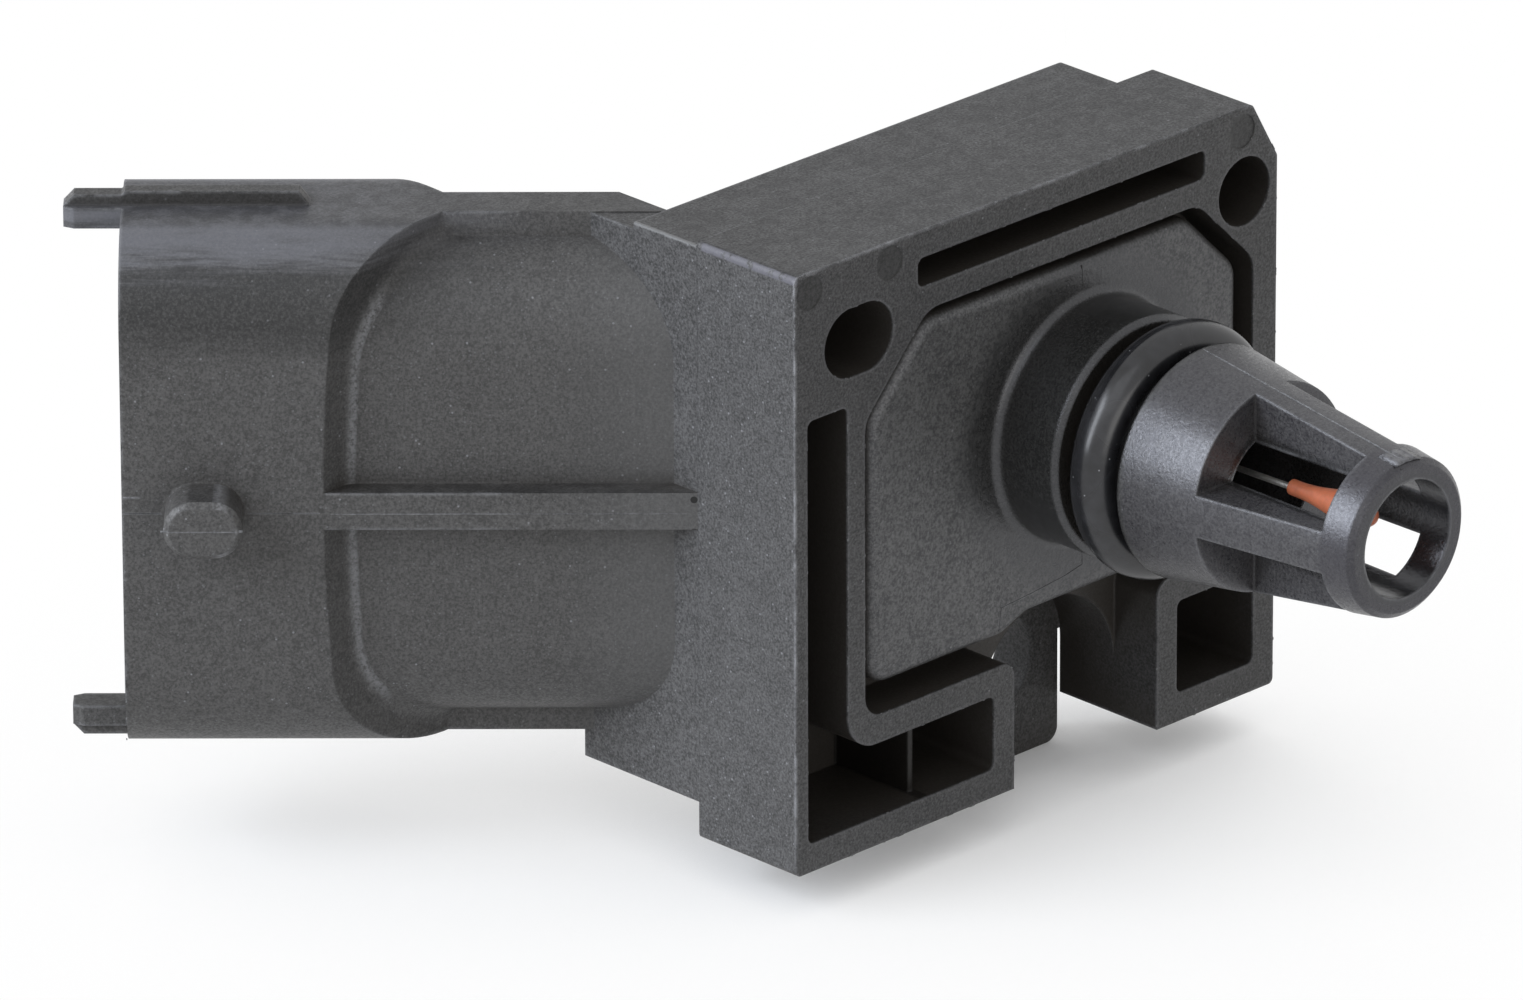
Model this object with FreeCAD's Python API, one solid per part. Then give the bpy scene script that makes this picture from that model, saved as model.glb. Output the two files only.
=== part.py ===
import FreeCAD, Part

import math
import os

from FreeCAD import Placement, Rotation, Vector

# Manifold absolute pressure sensor with a thermistor in its nozzle. Millimetres, +Z up.
# The origin is on the nozzle's axis at the mounting plane, and the nozzle points along -Y.

# Mounting flange, measured from the nozzle's axis
flange_left = 23.4
flange_right = 14.95
flange_top = 15.3
flange_bottom = 20.8
flange_thickness = 7.7
flange_corner_width = 2.05
flange_corner_height = 3.6
flange_edge_radius = 0.35

# Ribbed pockets in the flange's face
side_wall = 0.95
bottom_wall = 1.7
tall_pocket_width = 3.15
tall_pocket_top = 6.45
shoulder_wall = 1.35
shoulder_radius = 2.2
low_pocket_height = 4.5
shelf_wall = 1.7
foot_wall = 1.6
pocket_depth = 6.9
pocket_corner_radius = 0.45
pocket_rib_inset = 13.2
pocket_rib_thickness = 0.35
pocket_rib_setback = 1.2

# Feet on either side of the screw, measured from the screw's axis
left_foot_edge = 6.1
right_foot_edge = 5.45
right_foot_wall = 1.6
right_foot_outer_wall = 1.65
right_foot_floor = 1.75
right_foot_pocket_height = 5.7
right_foot_roof = 1.65
foot_corner_radius = 1.0

# Locating holes and the slot between them, all blind
locating_height = 10.2
round_hole_across = 12.3
round_hole_diameter = 4.15
slot_hole_across = 18.4
slot_hole_length = 5.4
slot_hole_width = 4.15
locating_depth = 6.2
top_slot_left = 13.8
top_slot_right = 9.1
top_slot_height = 1.75
top_slot_drop = 1.65
top_slot_depth = 6.2

# Ejector pin marks on the flange's face: across and up from the nozzle's axis
pin_mark_places = ((-22.25, 14.1), (-16.0, 14.1), (12.1, 13.9))
pin_mark_diameter = 2.0
pin_mark_depth = 0.06

# Recess that holds the port cover
recess_depth = 3.4
recess_right = 13.1
recess_top = 10.45
recess_left_cut_width = 4.95
recess_left_cut_height = 5.35
recess_right_cut_width = 4.55
recess_right_cut_height = 4.5
recess_corner_radius = 2.0
recess_shoulder_radius = 1.35

# Body behind the flange
body_right = 10.9
body_top = 15.0
body_bottom = 18.6
body_depth = 12.7
body_side_step = 0.06
body_edge_radius = 0.6
lug_side_rise = 1.8
corner_block_width = 3.2
corner_block_depth = 16.9
corner_block_top_step = 0.4

# Screw lug below the nozzle, with room for the manifold's boss and the screw's head
screw_drop = 17.45
screw_hole_diameter = 6.3
lug_half_width = 5.25
lug_thickness = 2.8
lug_reach = 6.2
lug_corner_radius = 0.85
boss_clearance_radius = 5.45
head_clearance_radius = 6.0

# Electronics cavity behind the port cover
cover_seat_width = 1.75
cavity_bottom = 9.4
cavity_right = 9.1
terminal_ledge_depth = 7.75
cavity_depth = 9.4
cavity_corner_radius = 0.5

# Port cover, glued into the recess
cover_setback = 0.4
cover_seal_gap = 0.3
cover_gap = 0.8
cover_lower_gap = 1.45
cover_right_foot_gap = 1.05
cover_step_left = 6.5
cover_step_run = 2.0
cover_corner_radius = 1.7
cover_lower_corner_radius = 1.6
cover_edge_radius = 0.7

# Nozzle: lengths are measured forward from the mounting plane
nozzle_root_diameter = 14.4
nozzle_root_fillet = 0.55
nozzle_root_length = 4.2
groove_width = 4.2
cone_large_diameter = 13.8
cone_tip_diameter = 9.2
nozzle_length = 24.4
nozzle_edge_chamfer = 0.3
bore_tip_diameter = 6.9
bore_inner_diameter = 6.1
window_start = 13.9
tip_ring_length = 2.05
window_rib_width = 2.5

# O-ring
ring_section = 2.8
ring_outer_diameter = 15.1
ring_seat_clearance = 0.02

# Connector: it leaves the body's rear left corner at 45 degrees in plan
connector_angle = 45.0
connector_centre_height = -0.9
connector_reach = 32.0
shroud_thickness = 14.9
shroud_height = 31.4
shroud_drop = 0.15
shroud_upper_corner_radius = 5.0
shroud_lower_corner_radius = 6.0
shroud_wall = 1.2
shroud_depth = 11.0
shroud_length = 11.2
shroud_end_slope = 0.93
shroud_end_curve_radius = 120.0
shroud_end_ridge_radius = 2.5
neck_side_step = 1.4
neck_end_step = 1.25
neck_fillet = 1.2
fin_thickness = 2.9
side_rib_height = 2.2
side_rib_root_depth = 0.5
neck_root_depth = 6.4

# Keys, tongues and locking pegs on the shroud
key_width = 1.06
key_height = 0.85
key_length = 10.5
key_end_slope = 0.6
key_rim_step = 0.2
tongue_width = 1.85
tongue_length = 3.25
tongue_tip = 0.6
peg_length = 4.4
peg_height = 3.4
peg_stand = 2.9
peg_setback = 4.6
peg_edge = 0.3
peg_end_flat = 0.07

# Terminals
terminal_count = 4
terminal_pitch = 5.0
terminal_width = 1.5
terminal_thickness = 0.8
terminal_tip_setback = 3.2
terminal_tip_taper = 0.9
terminal_pad_length = 2.3
terminal_pad_margin = 0.1

# Sealing compound over the terminals
terminal_seal_width = 2.2
terminal_seal_height = 1.2

# Circuit board and what it carries
board_gap = 0.4
board_thickness = 0.8
glue_thickness = 0.2
die_across = -5.0
die_height = 0.0
pedestal_side = 2.4
pedestal_height = 1.0
die_side = 2.0
die_thickness = 0.4
gel_ring_outer_diameter = 5.8
gel_ring_wall = 0.8
gel_ring_height = 2.8
gel_level_drop = 0.6
chip_side = 4.0
chip_thickness = 0.9
chip_across = 5.0
chip_height = -4.2
capacitor_length = 1.6
capacitor_width = 0.8
capacitor_count = 4
capacitor_pitch = 1.7
capacitor_row_across = 5.0
capacitor_row_height = 3.6

# Ribbon bonds from the terminals to the board
bond_width = 0.9
bond_thickness = 0.2
bond_foot = 0.6
bond_rise = 0.8
bond_crest = 0.5
bond_run = 0.45

# Thermistor on its two leads
lead_diameter = 0.36
lead_spacing_at_board = 1.2
lead_spacing_at_bead = 0.37
lead_spread_angle = 30.0
lead_lift_at_tip = 0.5
bead_start = 15.6
bead_length = 6.35
bead_neck_diameter = 0.92
bead_diameter = 1.9
lead_depth_in_bead = 1.8
# The bead's profile: share of its length, share of its full radius
bead_profile = ((0.2, 0.52), (0.48, 0.8), (0.74, 1.0), (0.92, 0.7))
solder_base_diameter = 1.05
solder_top_diameter = 0.7
solder_height = 0.5

# How far cutting shapes run past the faces they cut
overrun = 1.0

# Places worked out from the sizes above
neck_thickness = shroud_thickness - 2 * neck_side_step
neck_height = shroud_height - 2 * neck_end_step
recess_left = flange_left - side_wall - tall_pocket_width - shoulder_wall
low_pocket_floor = -flange_bottom + bottom_wall
low_pocket_top = low_pocket_floor + low_pocket_height
recess_bottom_left = low_pocket_top + shelf_wall
right_pocket_floor = -flange_bottom + right_foot_floor
right_pocket_top = right_pocket_floor + right_foot_pocket_height
recess_bottom_right = right_pocket_top + right_foot_roof
cover_rear = recess_depth - cover_seal_gap
board_face = cavity_depth - glue_thickness - board_thickness
terminal_face = terminal_ledge_depth - terminal_thickness

connector_turn = math.radians(connector_angle)
connector_out = Vector(-math.sin(connector_turn), math.cos(connector_turn), 0)
connector_near = Vector(-math.cos(connector_turn), -math.sin(connector_turn), 0)
connector_root = Vector(-flange_left, flange_thickness, connector_centre_height)
connector_root = connector_root - connector_near * (shroud_thickness / 2)
connector_placement = Placement(connector_root, Rotation(Vector(0, 0, 1), 90 + connector_angle))

# Where the connector's middle plane meets the plane of the terminals' pads
pad_plane = terminal_ledge_depth - terminal_thickness / 2
pad_bend = (connector_root.y - pad_plane) / connector_out.y
terminal_bend_across = connector_root.x - pad_bend * connector_out.x
terminal_pad_end = terminal_bend_across + terminal_pad_length
ledge_end = terminal_pad_end + terminal_pad_margin
board_left = ledge_end + board_gap


def in_front_view(depth):
    """Places a point given across and up on the plane at this depth behind the mounting face."""
    return lambda across, up: Vector(across, depth, up)


def in_plan(height):
    """Places a point given across and back on the level plane at this height."""
    return lambda across, back: Vector(across, back, height)


def in_section(along):
    """Places a point given across and up on the connector's cross-section."""
    return lambda across, up: Vector(along, across, up)


def rounded_wire(corners, place):
    """A closed outline of straight runs, where each corner (u, v, radius) is rounded by an arc."""
    bends = []
    for i, (u, v, radius) in enumerate(corners):
        corner = Vector(u, v, 0)
        before = (Vector(*corners[i - 1][:2], 0) - corner).normalize()
        following = corners[(i + 1) % len(corners)]
        after = (Vector(*following[:2], 0) - corner).normalize()
        half_angle = before.getAngle(after) / 2
        reach = radius / math.tan(half_angle)
        inward = (before + after).normalize() * (radius / math.sin(half_angle) - radius)
        bends.append([corner + before * reach, corner + inward, corner + after * reach])
    bends = [[place(point.x, point.y) for point in bend] for bend in bends]
    edges = []
    for i, (start, middle, end) in enumerate(bends):
        if corners[i][2] > 0:
            edges.append(Part.Arc(start, middle, end).toShape())
        following_start = bends[(i + 1) % len(bends)][0]
        if end.distanceToPoint(following_start) > 1e-6:
            edges.append(Part.LineSegment(end, following_start).toShape())
    return Part.Wire(edges)


def front_prism(corners, front, back):
    """An outline seen from the front, carried from one depth to another."""
    face = Part.Face(rounded_wire(corners, in_front_view(front)))
    return face.extrude(Vector(0, back - front, 0))


def plan_prism(corners, low, high):
    """An outline seen from above, carried from one height to another."""
    face = Part.Face(rounded_wire(corners, in_plan(low)))
    return face.extrude(Vector(0, 0, high - low))


def section_prism(width, height, radii, start, end):
    """A rounded rectangle across the connector, carried along it."""
    w = width / 2
    low, high = -height / 2 - shroud_drop, height / 2 - shroud_drop
    lower_radius, upper_radius = radii
    corners = [
        (-w, low, lower_radius),
        (w, low, lower_radius),
        (w, high, upper_radius),
        (-w, high, upper_radius),
    ]
    face = Part.Face(rounded_wire(corners, in_section(start)))
    return face.extrude(Vector(end - start, 0, 0))


def block(across, depth, height):
    """A box between pairs of limits."""
    low = Vector(across[0], depth[0], height[0])
    return Part.makeBox(across[1] - across[0], depth[1] - depth[0], height[1] - height[0], low)


def cylinder_back(radius, front, back, across=0.0, up=0.0):
    """A cylinder parallel to the nozzle."""
    return Part.makeCylinder(radius, back - front, Vector(across, front, up), Vector(0, 1, 0))


def strip_outline(path, thickness):
    """The outline of a strip of even thickness along a bent path, mitred at its bends."""
    runs = [(Vector(*b, 0) - Vector(*a, 0)).normalize() for a, b in zip(path, path[1:])]
    sides = ([], [])
    for i, point in enumerate(path):
        run_in = runs[max(i - 1, 0)]
        run_out = runs[min(i, len(runs) - 1)]
        left_in = Vector(-run_in.y, run_in.x, 0)
        left_out = Vector(-run_out.y, run_out.x, 0)
        mitre = (left_in + left_out).normalize()
        mitre = mitre * (thickness / 2 / mitre.dot(left_in))
        for side, sign in zip(sides, (1, -1)):
            edge_point = Vector(*point, 0) + mitre * sign
            side.append((edge_point.x, edge_point.y, 0))
    return sides[0] + sides[1][::-1]


def edges_at_depth(shape, depth):
    """The edges of a shape that lie in one plane parallel to the mounting face."""
    return [e for e in shape.Edges if all(abs(v.Point.y - depth) < 1e-4 for v in e.Vertexes)]


def upper_corner(width, height, gap):
    """How far a corner cut's two ends move when its outline is drawn inside itself by a gap."""
    slant = math.hypot(width, height)
    down = gap * (slant - height) / width
    inward = gap * (slant - width) / height
    return down, inward


def recess_upper_corners(gap, radius):
    """The upper part of the recess's outline, right to left, drawn inside it by a gap."""
    right_down, right_in = upper_corner(recess_right_cut_width, recess_right_cut_height, gap)
    left_down, left_in = upper_corner(recess_left_cut_width, recess_left_cut_height, gap)
    top = recess_top - gap
    return [
        (recess_right - gap, recess_top - recess_right_cut_height - right_down, radius),
        (recess_right - recess_right_cut_width - right_in, top, radius),
        (-recess_left + recess_left_cut_width + left_in, top, radius),
        (-recess_left + gap, recess_top - recess_left_cut_height - left_down, radius),
    ]


def flange_outline():
    """The flange with its upper right corner cut off."""
    r = flange_edge_radius
    return [
        (-flange_left, -flange_bottom, r),
        (flange_right, -flange_bottom, r),
        (flange_right, flange_top - flange_corner_height, r),
        (flange_right - flange_corner_width, flange_top, r),
        (-flange_left, flange_top, r),
    ]


def recess_outline():
    """The recess for the cover: it is open downward between the two feet."""
    below = -flange_bottom - overrun
    return [
        (-recess_left, recess_bottom_left, recess_shoulder_radius),
        (-left_foot_edge, recess_bottom_left, foot_corner_radius),
        (-left_foot_edge, below, 0),
        (right_foot_edge, below, 0),
        (right_foot_edge, recess_bottom_right, foot_corner_radius),
        (recess_right, recess_bottom_right, recess_corner_radius),
    ] + recess_upper_corners(0.0, recess_corner_radius)


def cover_outline():
    """The cover, a little inside its recess, with its lower edge stepped up past the left foot."""
    low = recess_bottom_left + cover_lower_gap
    high = recess_bottom_right + cover_right_foot_gap
    return [
        (-recess_left + cover_gap, low, cover_lower_corner_radius),
        (-cover_step_left, low, cover_corner_radius),
        (-cover_step_left + cover_step_run, high, cover_corner_radius),
        (recess_right - cover_gap, high, cover_corner_radius),
    ] + recess_upper_corners(cover_gap, cover_corner_radius)


def cavity_outline():
    """The electronics cavity, inside the cover's seat."""
    left_cut, left_side = recess_upper_corners(cover_seat_width, cavity_corner_radius)[2:]
    r = cavity_corner_radius
    return [
        (left_side[0], -cavity_bottom, r),
        (cavity_right, -cavity_bottom, r),
        (cavity_right, left_cut[1], r),
        left_cut,
        left_side,
    ]


def deep_cavity_outline():
    """The right-hand part of the cavity, where the board lies."""
    top = recess_top - cover_seat_width
    r = cavity_corner_radius
    return [
        (ledge_end, -cavity_bottom, r),
        (cavity_right, -cavity_bottom, r),
        (cavity_right, top, r),
        (ledge_end, top, r),
    ]


def shoulder_pocket():
    """The L-shaped pocket up the left side and along the left foot, with the rib left in it."""
    left = -flange_left + side_wall
    shoulder = left + tall_pocket_width
    foot_side = -left_foot_edge - foot_wall
    r = pocket_corner_radius
    pocket = front_prism([
        (left, low_pocket_floor, r),
        (foot_side, low_pocket_floor, r),
        (foot_side, low_pocket_top, r),
        (shoulder, low_pocket_top, shoulder_radius),
        (shoulder, tall_pocket_top, r),
        (left, tall_pocket_top, r),
    ], -overrun, pocket_depth)
    rib_middle = -pocket_rib_inset
    rib = block(
        (rib_middle - pocket_rib_thickness / 2, rib_middle + pocket_rib_thickness / 2),
        (pocket_rib_setback, pocket_depth),
        (low_pocket_floor, low_pocket_top),
    )
    return pocket.cut(rib)


def right_foot_pocket():
    """The square pocket in the right foot."""
    left = right_foot_edge + right_foot_wall
    right = flange_right - right_foot_outer_wall
    r = pocket_corner_radius
    return front_prism([
        (left, right_pocket_floor, r),
        (right, right_pocket_floor, r),
        (right, right_pocket_top, r),
        (left, right_pocket_top, r),
    ], -overrun, pocket_depth)


def locating_holes():
    """One round hole and one slotted hole, which take the manifold's two dowels."""
    round_hole = cylinder_back(
        round_hole_diameter / 2, -overrun, locating_depth, round_hole_across, locating_height
    )
    end_radius = slot_hole_width / 2
    half = (slot_hole_length - slot_hole_width) / 2
    ends = [
        cylinder_back(end_radius, -overrun, locating_depth, -slot_hole_across + x, locating_height)
        for x in (-half, half)
    ]
    middle = block(
        (-slot_hole_across - half, -slot_hole_across + half),
        (-overrun, locating_depth),
        (locating_height - end_radius, locating_height + end_radius),
    )
    return [round_hole, ends[0].fuse([ends[1], middle]).removeSplitter()]


def top_slot():
    """The long narrow pocket above the cover."""
    top = flange_top - top_slot_drop
    bottom = top - top_slot_height
    r = pocket_corner_radius
    return front_prism([
        (-top_slot_left, bottom, r),
        (top_slot_right, bottom, r),
        (top_slot_right, top, r),
        (-top_slot_left, top, r),
    ], -overrun, top_slot_depth)


def pin_marks():
    """Shallow round marks left by the mould's ejector pins."""
    return [
        cylinder_back(pin_mark_diameter / 2, -overrun, pin_mark_depth, across, up)
        for across, up in pin_mark_places
    ]


def screw_clearance(radius, front, back):
    """A round-topped channel about the screw's axis, open downward."""
    bottom = -screw_drop - lug_reach - overrun
    top = cylinder_back(radius, front, back, 0, -screw_drop)
    legs = block((-radius, radius), (front, back), (bottom, -screw_drop))
    return top.fuse(legs).removeSplitter()


def rear_body():
    """The body behind the flange, with the screw lug hanging from it."""
    left = -flange_left + body_side_step
    lug_bottom = -screw_drop - lug_reach
    body = front_prism([
        (left, -body_bottom, 0),
        (-lug_half_width, -body_bottom, 0),
        (-lug_half_width, lug_bottom, lug_corner_radius),
        (lug_half_width, lug_bottom, lug_corner_radius),
        (lug_half_width, -body_bottom + lug_side_rise, 0),
        (body_right, -body_bottom + lug_side_rise, body_edge_radius),
        (body_right, body_top, body_edge_radius),
        (left, body_top, 0),
    ], flange_thickness, body_depth)
    corner = block(
        (left, -flange_left + corner_block_width),
        (flange_thickness, corner_block_depth),
        (-body_bottom, body_top - corner_block_top_step),
    )
    return body.fuse(corner)


def shroud_blank():
    """The connector's outer section, its rear end slanted inward from both broad sides."""
    half = shroud_thickness / 2
    rim = connector_reach
    radii = (shroud_lower_corner_radius, shroud_upper_corner_radius)
    start = rim - shroud_length - shroud_thickness * shroud_end_slope
    blank = section_prism(shroud_thickness, shroud_height, radii, start, rim)
    # A pulley-shaped cutter leaves the slanted, gently curved end
    large = shroud_end_curve_radius
    hub = large - shroud_height / 2
    small = large - half * shroud_end_slope
    flare = large + overrun * shroud_end_slope
    axle = rim - shroud_length - large
    profile = rounded_wire([
        (axle + hub, -half - overrun, 0),
        (axle + flare, -half - overrun, 0),
        (axle + small, 0, shroud_end_ridge_radius),
        (axle + flare, half + overrun, 0),
        (axle + hub, half + overrun, 0),
    ], in_plan(0))
    sweep = 2 * math.degrees(math.asin((shroud_height / 2 + overrun) / hub))
    pulley = Part.Face(profile)
    pulley.rotate(Vector(axle, 0, 0), Vector(0, 1, 0), -sweep / 2)
    pulley = pulley.revolve(Vector(axle, 0, 0), Vector(0, 1, 0), sweep)
    return blank.cut(pulley)


def shroud_and_neck():
    """The shroud and the round-sided neck behind it, blended where they meet."""
    radius = neck_thickness / 2
    core = section_prism(
        neck_thickness, neck_height, (radius, radius), -neck_root_depth, connector_reach - shroud_depth
    )
    joined = shroud_blank().fuse(core).removeSplitter()
    meeting = [
        edge for edge in joined.Edges
        if all(on_neck(vertex.Point) for vertex in edge.Vertexes)
    ]
    return joined.makeFillet(neck_fillet, meeting)


def on_neck(point):
    """Whether a point between the body and the rim lies within the neck's section."""
    slack = 0.01
    between = 0 < point.x < connector_reach - shroud_depth / 2
    across = abs(point.y) < neck_thickness / 2 + slack
    up = abs(point.z + shroud_drop) < neck_height / 2 + slack
    return between and across and up


def neck_ribs():
    """The fins above and below the neck, and the rib along each of its broad sides."""
    root = connector_reach - shroud_length
    half_fin = fin_thickness / 2
    half_height = shroud_height / 2
    low, high = -half_height - shroud_drop, half_height - shroud_drop
    # The fins end in line with the corner block's inner side
    block_side = (connector_root.x + flange_left - corner_block_width) / -connector_out.x
    fins = Part.Face(rounded_wire([
        (root, -half_fin, 0),
        (root, half_fin, 0),
        (block_side - half_fin, half_fin, 0),
        (block_side + half_fin, -half_fin, 0),
    ], in_plan(low))).extrude(Vector(0, 0, high - low))
    half_rib = side_rib_height / 2
    half_thickness = shroud_thickness / 2
    # The near rib starts inside the flange's rear edge, and the far one on the back of the body
    near = block((-side_rib_root_depth, root), (0, half_thickness), (-half_rib, half_rib))
    far_side = connector_root - connector_near * half_thickness
    far_start = (body_depth - overrun - far_side.y) / connector_out.y
    far = block((far_start, root), (-half_thickness, 0), (-half_rib, half_rib))
    return [fins, near, far]


def key_profile(side):
    """The long key on the shroud's upper or lower face, with its tongue past the rim."""
    half_height = shroud_height / 2 - side * shroud_drop
    rim = connector_reach
    tip = rim + tongue_length
    start = rim - key_length
    base = half_height - shroud_wall
    key = Part.Face(Part.makePolygon([
        Vector(start, -key_width / 2, base),
        Vector(tip, -key_width / 2, base),
        Vector(tip, -key_width / 2, half_height),
        Vector(tip - tongue_tip, -key_width / 2, half_height + key_height - key_rim_step),
        Vector(rim, -key_width / 2, half_height + key_height - key_rim_step),
        Vector(rim - key_rim_step, -key_width / 2, half_height + key_height),
        Vector(start + key_end_slope, -key_width / 2, half_height + key_height),
        Vector(start, -key_width / 2, half_height),
        Vector(start, -key_width / 2, base),
    ])).extrude(Vector(0, key_width, 0))
    half_tongue = tongue_width / 2
    tongue = Part.Face(Part.makePolygon([
        Vector(rim - shroud_wall, -half_tongue, base),
        Vector(tip - tongue_tip, -half_tongue, base),
        Vector(tip, -half_tongue + tongue_tip / 2, base),
        Vector(tip, half_tongue - tongue_tip / 2, base),
        Vector(tip - tongue_tip, half_tongue, base),
        Vector(rim - shroud_wall, half_tongue, base),
        Vector(rim - shroud_wall, -half_tongue, base),
    ])).extrude(Vector(0, 0, shroud_wall))
    piece = key.fuse(tongue)
    if side < 0:
        piece.rotate(Vector(0, 0, 0), Vector(1, 0, 0), 180)
    return piece


def locking_peg(side):
    """The flat-sided round peg in the middle of a broad side."""
    middle = connector_reach - peg_setback
    rise = peg_height / 2
    half = peg_length / 2
    rounding = rise - peg_end_flat / 2
    root = side * (shroud_thickness / 2 - shroud_wall / 2)
    corners = [
        (middle - half, -rise, rounding),
        (middle + half, -rise, rounding),
        (middle + half, rise, rounding),
        (middle - half, rise, rounding),
    ]
    face = Part.Face(rounded_wire(corners, lambda along, up: Vector(along, root, up)))
    peg = face.extrude(Vector(0, side * (peg_stand + shroud_wall / 2), 0))
    tip = side * (shroud_thickness / 2 + peg_stand)
    return peg.makeChamfer(peg_edge, edges_at_depth(peg, tip))


def connector_blank():
    """The connector as a solid block with its ribs, keys and pegs, reaching into the body."""
    pieces = neck_ribs()
    pieces += [key_profile(side) for side in (1, -1)]
    pieces += [locking_peg(side) for side in (1, -1)]
    whole = shroud_and_neck().fuse(pieces)
    whole.Placement = connector_placement
    return whole


def connector_socket():
    """The hollow of the shroud."""
    rim = connector_reach
    radii = (shroud_lower_corner_radius - shroud_wall, shroud_upper_corner_radius - shroud_wall)
    hollow = section_prism(
        shroud_thickness - 2 * shroud_wall, shroud_height - 2 * shroud_wall, radii,
        rim - shroud_depth, rim + overrun,
    )
    hollow.Placement = connector_placement
    return hollow


def electronics_cavity():
    """The cavity behind the cover: a ledge for the terminals and a deeper floor for the board."""
    shallow = front_prism(cavity_outline(), cover_rear, terminal_ledge_depth)
    deep = front_prism(deep_cavity_outline(), cover_rear, cavity_depth)
    return shallow.fuse(deep).removeSplitter()


def housing_blank():
    """The flange and the body behind it, before anything is cut from them."""
    return front_prism(flange_outline(), 0, flange_thickness).fuse(rear_body())


def connector_shroud(terminals):
    """The hollow connector. It is moulded on to the housing and meets it face to face."""
    solid = connector_blank().cut([housing_blank(), connector_socket()])
    return solid.cut(terminals).removeSplitter()


def housing(terminals):
    """The moulded housing: flange, body and lug in one piece."""
    solid = housing_blank()
    cuts = [shoulder_pocket(), right_foot_pocket(), top_slot()]
    cuts += locating_holes() + pin_marks()
    cuts.append(front_prism(recess_outline(), -overrun, recess_depth))
    cuts.append(electronics_cavity())
    cuts.append(screw_clearance(boss_clearance_radius, recess_depth, flange_thickness))
    lug_back = flange_thickness + lug_thickness
    cuts.append(screw_clearance(head_clearance_radius, lug_back, body_depth + overrun))
    cuts.append(cylinder_back(
        screw_hole_diameter / 2, flange_thickness - overrun, lug_back + overrun, 0, -screw_drop
    ))
    solid = solid.cut(cuts)
    solid = solid.cut(terminals)
    return solid.removeSplitter()


def cone_radius(forward):
    """The outer radius of the nozzle's cone at a distance in front of the mounting plane."""
    start = nozzle_root_length + groove_width
    share = (forward - start) / (nozzle_length - start)
    return (cone_large_diameter + share * (cone_tip_diameter - cone_large_diameter)) / 2


def nozzle_outline():
    """Half of the nozzle's outer form, as (radius, forward, rounding) corners."""
    root = nozzle_root_diameter / 2
    core = ring_outer_diameter / 2 - ring_section - ring_seat_clearance
    groove_end = nozzle_root_length + groove_width
    e = nozzle_edge_chamfer
    return [
        (0, -cover_rear, 0),
        (root + 2 * nozzle_root_fillet, -cover_rear, 0),
        (root + 2 * nozzle_root_fillet, -cover_setback, 0),
        (root, -cover_setback, nozzle_root_fillet),
        (root, nozzle_root_length - e, 0),
        (root - e, nozzle_root_length, 0),
        (core, nozzle_root_length, 0),
        (core, groove_end, 0),
        (cone_radius(groove_end) - e, groove_end, 0),
        (cone_radius(groove_end + e), groove_end + e, 0),
        (cone_radius(nozzle_length - e), nozzle_length - e, 0),
        (cone_radius(nozzle_length) - e, nozzle_length, 0),
        (0, nozzle_length, 0),
    ]


def nozzle_bore():
    """The bore through nozzle and cover, slightly wider at the tip."""
    length = nozzle_length + cover_rear
    rate = (bore_tip_diameter - bore_inner_diameter) / 2 / length
    start = -nozzle_length - overrun
    return Part.makeCone(
        bore_tip_diameter / 2 + rate * overrun, bore_inner_diameter / 2 - rate * overrun,
        length + 2 * overrun, Vector(0, start, 0), Vector(0, 1, 0),
    )


def window_cuts():
    """Four openings round the thermistor, which leave four ribs up to the tip ring."""
    near = window_rib_width / 2
    far = cone_large_diameter / 2 + overrun
    depth = (-nozzle_length + tip_ring_length, -window_start)
    spans = ((near, far), (-far, -near))
    return [block(across, depth, up) for across in spans for up in spans]


def pressure_port():
    """The cover plate and the nozzle, moulded as one."""
    plate = front_prism(cover_outline(), cover_setback, cover_rear)
    plate = plate.makeFillet(cover_edge_radius, edges_at_depth(plate, cover_setback))
    half = rounded_wire(nozzle_outline(), lambda radius, forward: Vector(radius, -forward, 0))
    nozzle = Part.Face(half).revolve(Vector(0, 0, 0), Vector(0, 1, 0), 360)
    port = plate.fuse(nozzle).cut([nozzle_bore()] + window_cuts())
    return port.removeSplitter()


def o_ring():
    """The ring that seals the nozzle in the manifold, sitting on the groove's core."""
    middle = nozzle_root_length + groove_width / 2
    return Part.makeTorus(
        (ring_outer_diameter - ring_section) / 2, ring_section / 2,
        Vector(0, -middle, 0), Vector(0, 1, 0),
    )


def port_sealant():
    """The glue line between the cover and its seat."""
    pad = front_prism(cover_outline(), cover_rear, recess_depth)
    return pad.cut(front_prism(cavity_outline(), cover_rear, recess_depth))


def terminal_heights():
    """The heights of the terminals, evenly spaced about the connector's middle."""
    middle = (terminal_count - 1) / 2
    return [connector_centre_height + (i - middle) * terminal_pitch for i in range(terminal_count)]


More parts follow.
